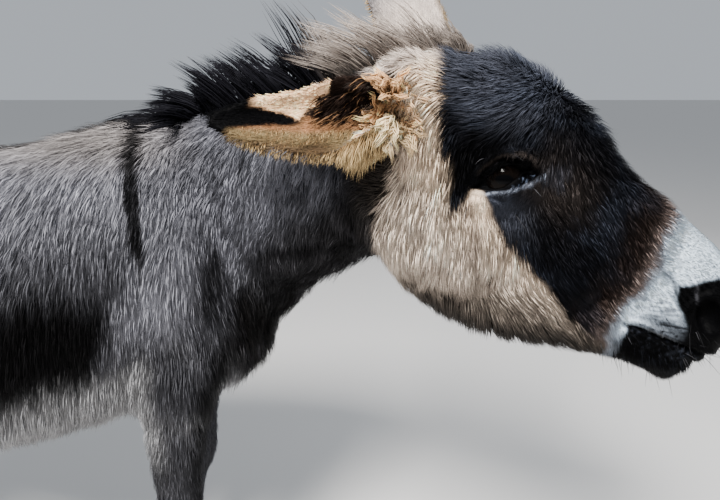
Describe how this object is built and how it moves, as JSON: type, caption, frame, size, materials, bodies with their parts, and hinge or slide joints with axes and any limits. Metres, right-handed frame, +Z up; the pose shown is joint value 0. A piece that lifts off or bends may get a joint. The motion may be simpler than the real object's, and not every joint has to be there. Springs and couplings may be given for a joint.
{
  "type": "donkey",
  "caption": "Life-size still model of a grey donkey in its winter coat, standing, with its head stretched forward and turned a little to its right, one ear back and one up",
  "frame": {"origin": "the middle of the model's box, on the plane of the soles", "axes": "+X forward along the trunk, from the tail to the chest; +Y to the animal's left; +Z up"},
  "size_m": [1.7588, 0.5838, 1.3513],
  "materials": {
    "coat": "long soft hair, matt",
    "dark_hair": "coarse black hair, slightly glossy",
    "hoof_horn": "dry horn, satin",
    "wet_eye": "wet, glossy"
  },
  "bodies": {
    "root": {"ear_left": "coat", "ear_right": "coat", "eye_left": "wet_eye", "eye_right": "wet_eye", "head": "coat", "hoof_front_left": "hoof_horn", "hoof_front_right": "hoof_horn", "hoof_hind_left": "hoof_horn", "hoof_hind_right": "hoof_horn", "leg_front_left": "coat", "leg_front_right": "coat", "leg_hind_left": "coat", "leg_hind_right": "coat", "mane": "dark_hair", "neck": "coat", "tail": "coat", "tail_tuft": "dark_hair", "trunk": "coat"}
  },
  "joints": []
}
